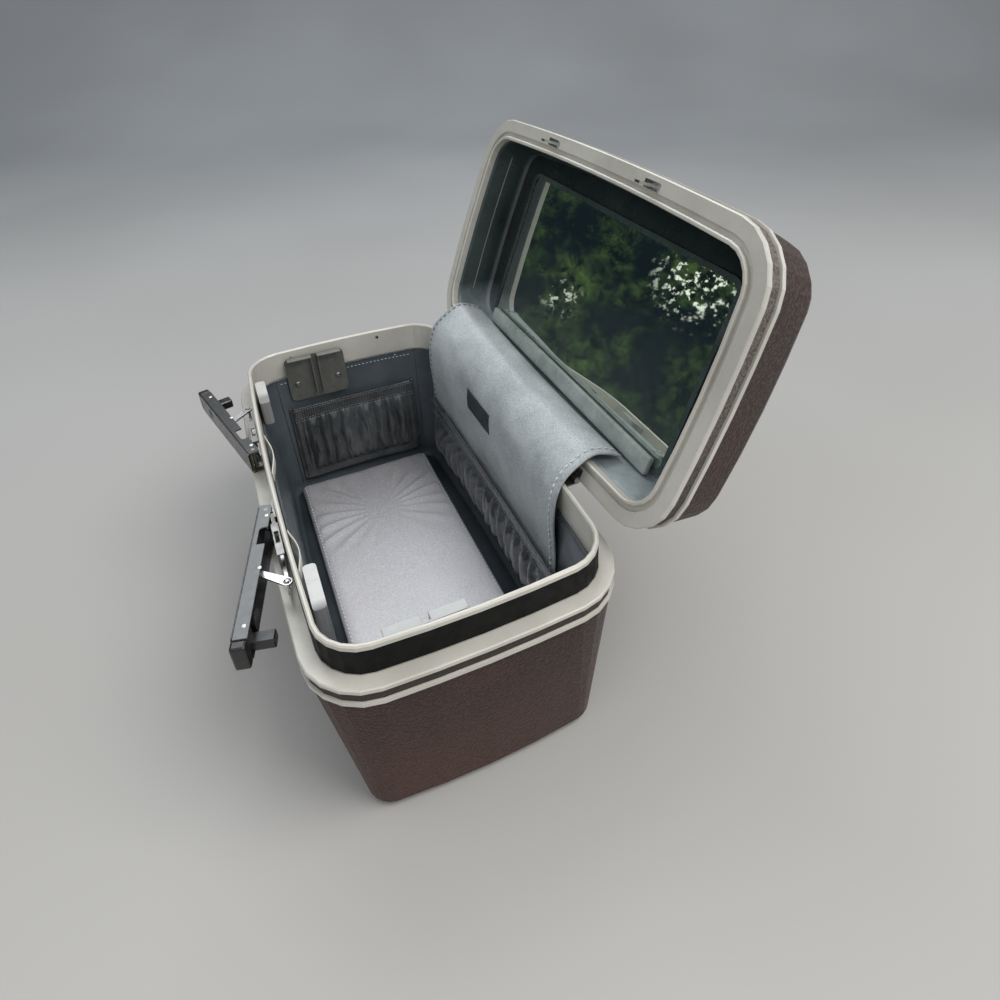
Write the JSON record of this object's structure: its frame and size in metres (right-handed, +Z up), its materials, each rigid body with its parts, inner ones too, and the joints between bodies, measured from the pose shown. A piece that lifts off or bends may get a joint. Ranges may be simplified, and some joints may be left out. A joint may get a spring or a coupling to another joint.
{
  "type": "cosmetic train case",
  "caption": "Hard-sided cosmetic train case with a mirrored hinged lid, side-swing lever latches, a bail handle and gathered inner pockets, shown open.",
  "frame": {"origin": "middle of the flat underside of the base", "axes": "+X along the case towards the end without a pocket, +Y towards the hinges, +Z up; lid open and latches swung out at rest"},
  "size_m": [0.3692, 0.342, 0.3342],
  "materials": {
    "rim_metal": "satin cast rim, warm grey",
    "rim_strip": "grained strip",
    "black_band": "black band",
    "shell_brown": "grained moulded shell, reddish dark brown",
    "lining_grey": "slate-grey vinyl lining",
    "satin_grey": "gathered charcoal satin",
    "pad_mauve": "quilted mauve-grey satin",
    "flap_silver": "silver-grey padded vinyl",
    "lid_vinyl": "glossy vinyl lining",
    "silvered": "silvered glass",
    "bezel_grey": "grey-green trim",
    "steel": "plated steel",
    "chrome": "bright plated",
    "black_plastic": "black, glossy",
    "white_plastic": "white moulded",
    "bracket_grey": "grey painted",
    "maroon": "dark maroon moulded"
  },
  "bodies": {
    "base": {"base_shell": "shell_brown", "base_frame": "rim_metal", "base_trim_strip": "rim_strip", "base_collar": "rim_metal", "collar_band": "black_band", "base_lining": "lining_grey", "floor_pad": "pad_mauve", "side_pocket": "satin_grey", "back_pocket": "satin_grey", "hinge_flap": "flap_silver", "left_tray_bracket": "bracket_grey", "right_tray_bracket": "bracket_grey", "left_bracket_screw_front": "steel", "right_bracket_screw_front": "steel", "left_bracket_screw_back": "steel", "right_bracket_screw_back": "steel", "left_hinge_leaf": "steel", "right_hinge_leaf": "steel", "left_hinge_pin": "steel", "right_hinge_pin": "steel", "left_latch_mount": "steel", "right_latch_mount": "steel", "left_lever_pin": "steel", "right_lever_pin": "steel", "left_bolt_guide": "steel", "right_bolt_guide": "steel", "left_lock_cover": "white_plastic", "right_lock_cover": "white_plastic"},
    "lid": {"lid_shell": "shell_brown", "lid_frame": "rim_metal", "lid_trim_strip": "rim_strip", "lid_lining": "lid_vinyl", "mirror_glass": "silvered", "mirror_bezel": "bezel_grey", "mirror_strip": "bezel_grey", "left_lid_hinge_leaf": "steel", "right_lid_hinge_leaf": "steel", "left_lid_strike": "chrome", "right_lid_strike": "chrome", "left_handle_post": "maroon", "right_handle_post": "maroon"},
    "bail": {"handle": "maroon"},
    "left_lever": {"left_lever_channel": "steel", "left_lever_cover": "black_plastic", "left_lever_cap": "black_plastic"},
    "left_barrel": {"left_lock_barrel": "black_plastic"},
    "left_link": {"left_latch_link": "chrome"},
    "left_bolt": {"left_latch_bolt": "chrome"},
    "right_lever": {"right_lever_channel": "steel", "right_lever_cover": "black_plastic", "right_lever_cap": "black_plastic"},
    "right_barrel": {"right_lock_barrel": "black_plastic"},
    "right_link": {"right_latch_link": "chrome"},
    "right_bolt": {"right_latch_bolt": "chrome"}
  },
  "joints": [
    {"name": "lid_hinge", "type": "hinge", "parent": "base", "child": "lid", "pos_m": [0, 0.0973, 0.1522], "axis": [1, 0, 0], "range_deg": [0, 111.56], "deforming": ["hinge_flap"]},
    {"name": "handle_bail", "type": "hinge", "parent": "lid", "child": "bail", "pos_m": [0, 0.19276, 0.2191], "axis": [-1, 0, 0], "range_deg": [0, 180]},
    {"name": "left_lever_pivot", "type": "hinge", "parent": "base", "child": "left_lever", "pos_m": [-0.036, -0.0945, 0.1426], "axis": [0, 0, -1], "range_deg": [0, 14.4]},
    {"name": "left_barrel_turn", "type": "hinge", "parent": "left_lever", "child": "left_barrel", "pos_m": [-0.11639, -0.11514, 0.1426], "axis": [-0.2487, 0.9686, 0], "range_deg": [0, 90]},
    {"name": "left_link_pivot", "type": "hinge", "parent": "left_lever", "child": "left_link", "pos_m": [-0.08686, -0.1055, 0.1426], "axis": [0, 0, -1], "range_deg": [-53.7, 0]},
    {"name": "left_bolt_slide", "type": "slide", "parent": "base", "child": "left_bolt", "axis": [-1, 0, 0], "range_m": [0, 0.0078]},
    {"name": "right_lever_pivot", "type": "hinge", "parent": "base", "child": "right_lever", "pos_m": [0.036, -0.0945, 0.1426], "axis": [0, 0, 1], "range_deg": [0, 14.4]},
    {"name": "right_barrel_turn", "type": "hinge", "parent": "right_lever", "child": "right_barrel", "pos_m": [0.11639, -0.11514, 0.1426], "axis": [0.2487, 0.9686, 0], "range_deg": [0, 90]},
    {"name": "right_link_pivot", "type": "hinge", "parent": "right_lever", "child": "right_link", "pos_m": [0.08686, -0.1055, 0.1426], "axis": [0, 0, 1], "range_deg": [-53.7, 0]},
    {"name": "right_bolt_slide", "type": "slide", "parent": "base", "child": "right_bolt", "axis": [1, 0, 0], "range_m": [0, 0.0078]}
  ],
  "couplings": [
    {"joint": "left_link_pivot", "follows": "left_lever_pivot", "ratio": -3.725},
    {"joint": "left_bolt_slide", "follows": "left_lever_pivot", "m_per_rad": 0.031},
    {"joint": "right_link_pivot", "follows": "right_lever_pivot", "ratio": -3.725},
    {"joint": "right_bolt_slide", "follows": "right_lever_pivot", "m_per_rad": 0.031}
  ]
}
